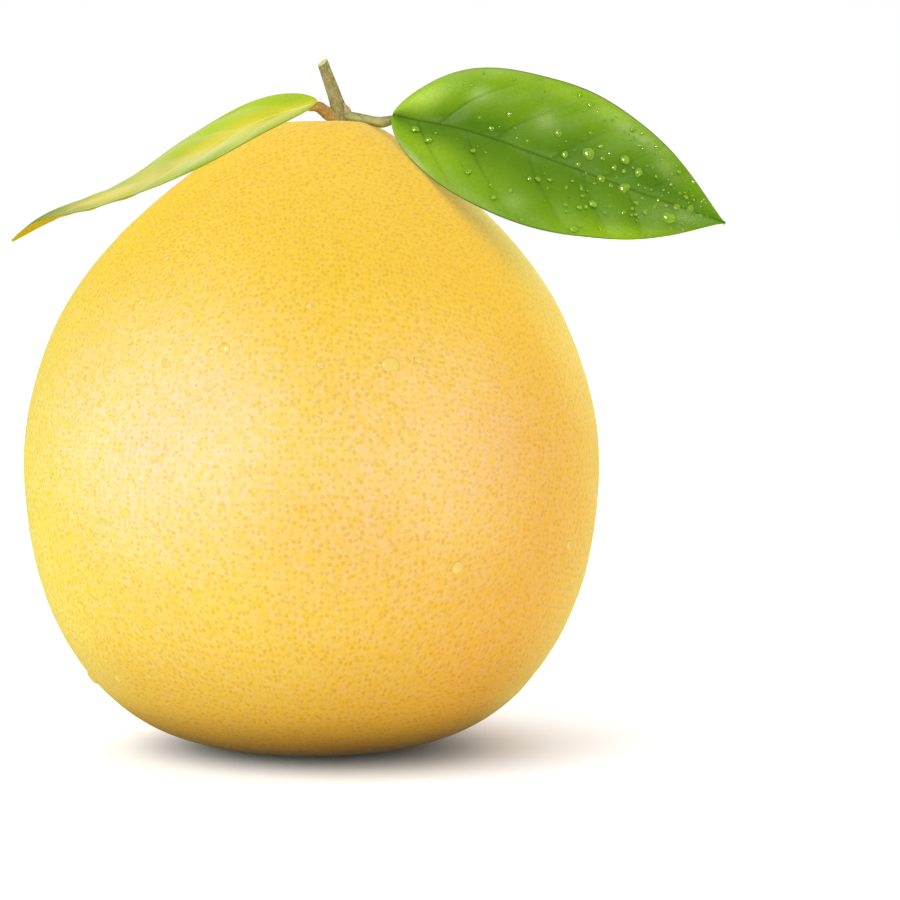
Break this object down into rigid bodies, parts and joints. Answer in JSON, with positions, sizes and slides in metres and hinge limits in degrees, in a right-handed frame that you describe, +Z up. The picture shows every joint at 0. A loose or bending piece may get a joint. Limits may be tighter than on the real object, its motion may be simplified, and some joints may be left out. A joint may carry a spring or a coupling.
{
  "type": "pomelo",
  "caption": "Whole picked pomelo with a blunt base and a tapering neck, a cut twig in its crown and leaves spread over both shoulders. It rests on a small flat spot.",
  "frame": {"origin": "middle of the small flat spot under the fruit, on the surface that it rests on", "axes": "+Z up through the fruit towards the twig, +X towards the leaf that spreads beside the right shoulder, -Y towards the side that this leaf faces"},
  "size_m": [0.1968, 0.1596, 0.192],
  "materials": {
    "citrus_peel": "satin",
    "green_twig": "matte",
    "grown_leaf": "satin",
    "sunlit_leaf": "satin"
  },
  "bodies": {
    "root": {"fruit": "citrus_peel", "stem": "green_twig", "leaf_right": "grown_leaf", "leaf_left": "sunlit_leaf"}
  },
  "joints": []
}
